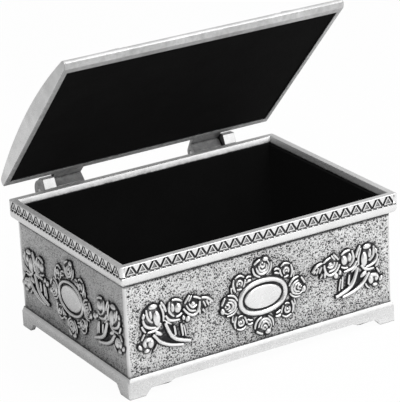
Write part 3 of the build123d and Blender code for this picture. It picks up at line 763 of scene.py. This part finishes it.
# From the room a slope rises to the flat top, sharp at both ends. It is dull, and painted shade darkens it
# downwards, to black at its foot
slope_bottom, slope_top = 50.3, 52.25
groove_inset, slope_inset, room_inset = 0.2, 2.1, 3.4
mark = rim.data.attributes.new("oxide_and_shade", "FLOAT", "POINT")
matt = rim.data.attributes.new("matt", "FLOAT", "POINT")
deep = {tuple(round(value * 1e6) for value in place) for place in recess}
for point in rim.data.vertices:
    place = point.co * 1000
    in_groove = abs(place.z - groove_middle) < 0.35 and within(place, groove_inset)
    in_slope = within(place, slope_inset)
    black = tuple(round(value * 1e6) for value in point.co) in deep or in_groove
    # Painted shade inside the box: black at the slope's foot, and deepening down the slope itself.
    if within(place, room_inset):
        black = ease(50.65, 50.4, place.z)
    mark.data[point.index].value = max(0.35 * ease(52.0, 50.8, place.z) * in_slope, 0.9 * black)
    on_slope = in_slope and 50.6 < place.z < 52.4
    matt.data[point.index].value = 0.68 * ease(52.3, 52.45, place.z) + 0.6 * on_slope
for slope_end in (slope_bottom, slope_top):
    edit(rim, "edges", lambda edge: all(abs(end.co.z * 1000 - slope_end) < 0.03
                                        and within(end.co * 1000, slope_inset) for end in edge.verts))
    bpy.ops.mesh.mark_sharp()
bpy.ops.object.mode_set(mode="OBJECT")
bpy.ops.mesh.customdata_custom_splitnormals_clear()
work(rim, "WEIGHTED_NORMAL", keep_sharp=True)
rim = joined([rim, *teeth])
for shape in (tooth, rib):
    bpy.data.objects.remove(shape)
fit(rim, "rim", "box", silver, "antique_silver", "rim_frame")

# Linings: boards covered with black flock, the floor board first and the four wall boards on it. They
# stand a little lower than the rim's top.
flock, shader, add = new_finish("black flock")
place = flock.node_tree.nodes.new("ShaderNodeTexCoord").outputs["Object"]
nap = add("ShaderNodeTexNoise", Vector=place, Scale=900.0, Detail=3.0, Roughness=0.7)
pile = add("ShaderNodeTexNoise", Vector=place, Scale=70.0, Detail=4.0, Roughness=0.6)
mixed = add("ShaderNodeMath", {"operation": "MULTIPLY_ADD"}, i0=nap, i1=0.6, i2=pile)
fibre = add("ShaderNodeMapRange", Value=mixed, From_Min=0.5, From_Max=1.1, To_Min=0.002, To_Max=0.0045)
black = add("ShaderNodeCombineColor", i0=fibre, i1=fibre, i2=fibre)
flock.node_tree.links.new(black, shader.inputs["Base Color"])
fuzz = add("ShaderNodeBump", Strength=0.5, Distance=0.0002, Height=nap)
flock.node_tree.links.new(fuzz, shader.inputs["Normal"])
shader.inputs["Roughness"].default_value = 1.0
shader.inputs["Specular IOR Level"].default_value = 0.05
# A faint glow paints light into the flock, so that its shaded parts stay as light as its lit ones.
shader.inputs["Emission Color"].default_value = (1, 1, 1, 1)
shader.inputs["Emission Strength"].default_value = 0.0022
for name in ("floor_lining", "front_lining", "back_lining", "left_lining", "right_lining"):
    board = softened(name, 0.0004, 3)
    fit(board, name + "_board", "box", flock, "flock", name)

# Hinges: on the rim's back stand two cast ears, and a steel pin is pressed in each. The lid's lug turns
# on the pin beside its ear, and its heel meets the rim's back when the lid is fully open.
pin_steel = silver_finish("pin steel", bright=0.55, blackening=0.6, rough=0.3)
hinge_silver = silver_finish("silver plate, hinges", bright=0.66, rough=0.3, patchy=0.15)
for hand in ("left", "right"):
    ear = softened(hand + "_hinge_ear", 0.0002)
    # Painted shade on the ears' side faces, beside the lugs.
    paint_shade_on_faces(ear, 0.55, lambda normal: abs(normal.x) > 0.7)
    fit(ear, hand + "_ear", "box", hinge_silver, "antique_silver", hand + "_hinge_ear")
    pin = softened(hand + "_hinge_pin", 0.0002)
    fit(pin, hand + "_pin", "box", pin_steel, "pin_steel", hand + "_hinge_pin")

# Lid: a cast shell with a barrel top, lined inside with a flock board, with two cast lugs let into its
# back edge. Its top has a stippled field inside a plain border, with a cartouche and four sprays.
lid_silver = silver_finish("silver plate, lid", bright=0.86, patchy=0.14)
lid = softened("lid_shell", 0.00015)
hinge = frame["joints"][0]
open_by = math.radians(-hinge["range_deg"][0])
pin_to_middle, pin_to_underside = 0.0493, 0.00255
lid_place = (
    Matrix.Translation(hinge["pos_m"]) @ Matrix.Rotation(-open_by, 4, "X")
    @ Matrix.Translation((0, -pin_to_middle, pin_to_underside))
)
half_depth, crown_high, crown_low = 43.25, 7.35, 3.3
crown_radius = (half_depth**2 + (crown_high - crown_low) ** 2) / (2 * (crown_high - crown_low))


def crown(x, y):
    """How high the lid's top stands over its underside, the same all along its length."""
    return crown_high - crown_radius + math.sqrt(crown_radius**2 - y * y)


out_of_lid = lid_place.inverted()


def lid_matt(place):
    """How dull the lid's polish is: most on its underside, less on its front edge."""
    flat = out_of_lid @ (place / 1000) * 1000
    return 0.9 if flat.z < 0.1 else 0.5 * (flat.y < -41)


# Painted shade on the lid's underside, lighter along its front edge than further back.
paint_shade_on_faces(lid, 1, lambda normal: (out_of_lid.to_3x3() @ normal).z < -0.5)
for point, blackening in zip(lid.data.vertices, lid.data.attributes["oxide_and_shade"].data):
    blackening.value *= 0.36 + 0.2 * ease(-40, -30, (out_of_lid @ point.co).y * 1000)
scuffed(lid, lid_matt)

# Round the cartouche the shell's low bosses sink just below the ground: the carved roses replace them
lid_oval_wide, lid_oval_high, sunk = 16.2, 11.0, 0.05
for point in lid.data.vertices:
    place = out_of_lid @ point.co * 1000
    over = place.z - crown(place.x, min(abs(place.y), half_depth))
    if over > 0.03 and math.hypot(place.x / lid_oval_wide, place.y / lid_oval_high) > 1:
        point.co = lid_place @ ((place - Vector((0, 0, over + sunk))) / 1000)
raised = wreath(lid_place, 0, 1.45, crown)
spray_reach = 55
for turn, middle in ((0, -spray_reach), (180, spray_reach)):
    for flip in (False, True):
        for form in (side_spray, inner_rose):
            raised.append(copied(form, lid_place, 0, middle, turn, 1, flip, crown))
lid_roses = joined(raised)

field_wide, field_deep, field_middle = 114.0, 79.4, -0.2
field_cell, field_proud, field_thickness = 0.456, 0.12, 0.6
bpy.ops.mesh.primitive_grid_add(
    x_subdivisions=round(field_wide / field_cell), y_subdivisions=round(field_deep / field_cell), size=1,
)
field_sheet = bpy.context.object
field_sheet.scale = (field_wide, field_deep, 1)
field_sheet.location = (0, field_middle, 0)
bpy.ops.object.transform_apply(location=True, scale=True)
edit(field_sheet, "edges", lambda edge: edge.is_boundary)
bpy.ops.mesh.extrude_region_move(TRANSFORM_OT_translate={"value": (0, 0, -field_thickness)})
bpy.ops.mesh.edge_face_add()
edit(field_sheet, "faces", lambda face: True)
bpy.ops.mesh.normals_make_consistent(inside=False)
bpy.ops.object.mode_set(mode="OBJECT")
for point in field_sheet.data.vertices:
    point.co.z += crown(point.co.x, point.co.y) + field_proud


def lid_field(place):
    """How strongly a place on the lid's top is stippled: not along its border, and not below its face."""
    from_side = field_wide / 2 - abs(place.x)
    from_end = field_deep / 2 - abs(place.y - field_middle)
    under_face = crown(place.x, place.y) + field_proud - place.z
    return ease(0, 2.4, from_side) * ease(0, 2.4, from_end) * ease(0.2, 0.0, under_face)


stippled(field_sheet, lid_place, lid_field, lid_roses, 0.8)
fit(lid, "lid", "lid", lid_silver, "antique_silver", "lid_shell")
fit(field_sheet, "lid_ground", "lid", ground_silver, "antique_silver", "lid_shell")
fit(lid_roses, "lid_roses", "lid", relief_silver, "antique_silver", "lid_shell")
board = softened("lid_lining", 0.0004, 3)
fit(board, "lid_lining_board", "lid", flock, "flock", "lid_lining")
for hand in ("left", "right"):
    lug = softened(hand + "_hinge_lug", 0.0002)
    # Painted shade over the whole of each lug.
    paint_shade_on_faces(lug, 0.5, lambda normal: True)
    fit(lug, hand + "_lug", "lid", hinge_silver, "antique_silver", hand + "_hinge_lug")

for form in (rose, corner_bud, side_spray, inner_rose):
    bpy.data.objects.remove(form)
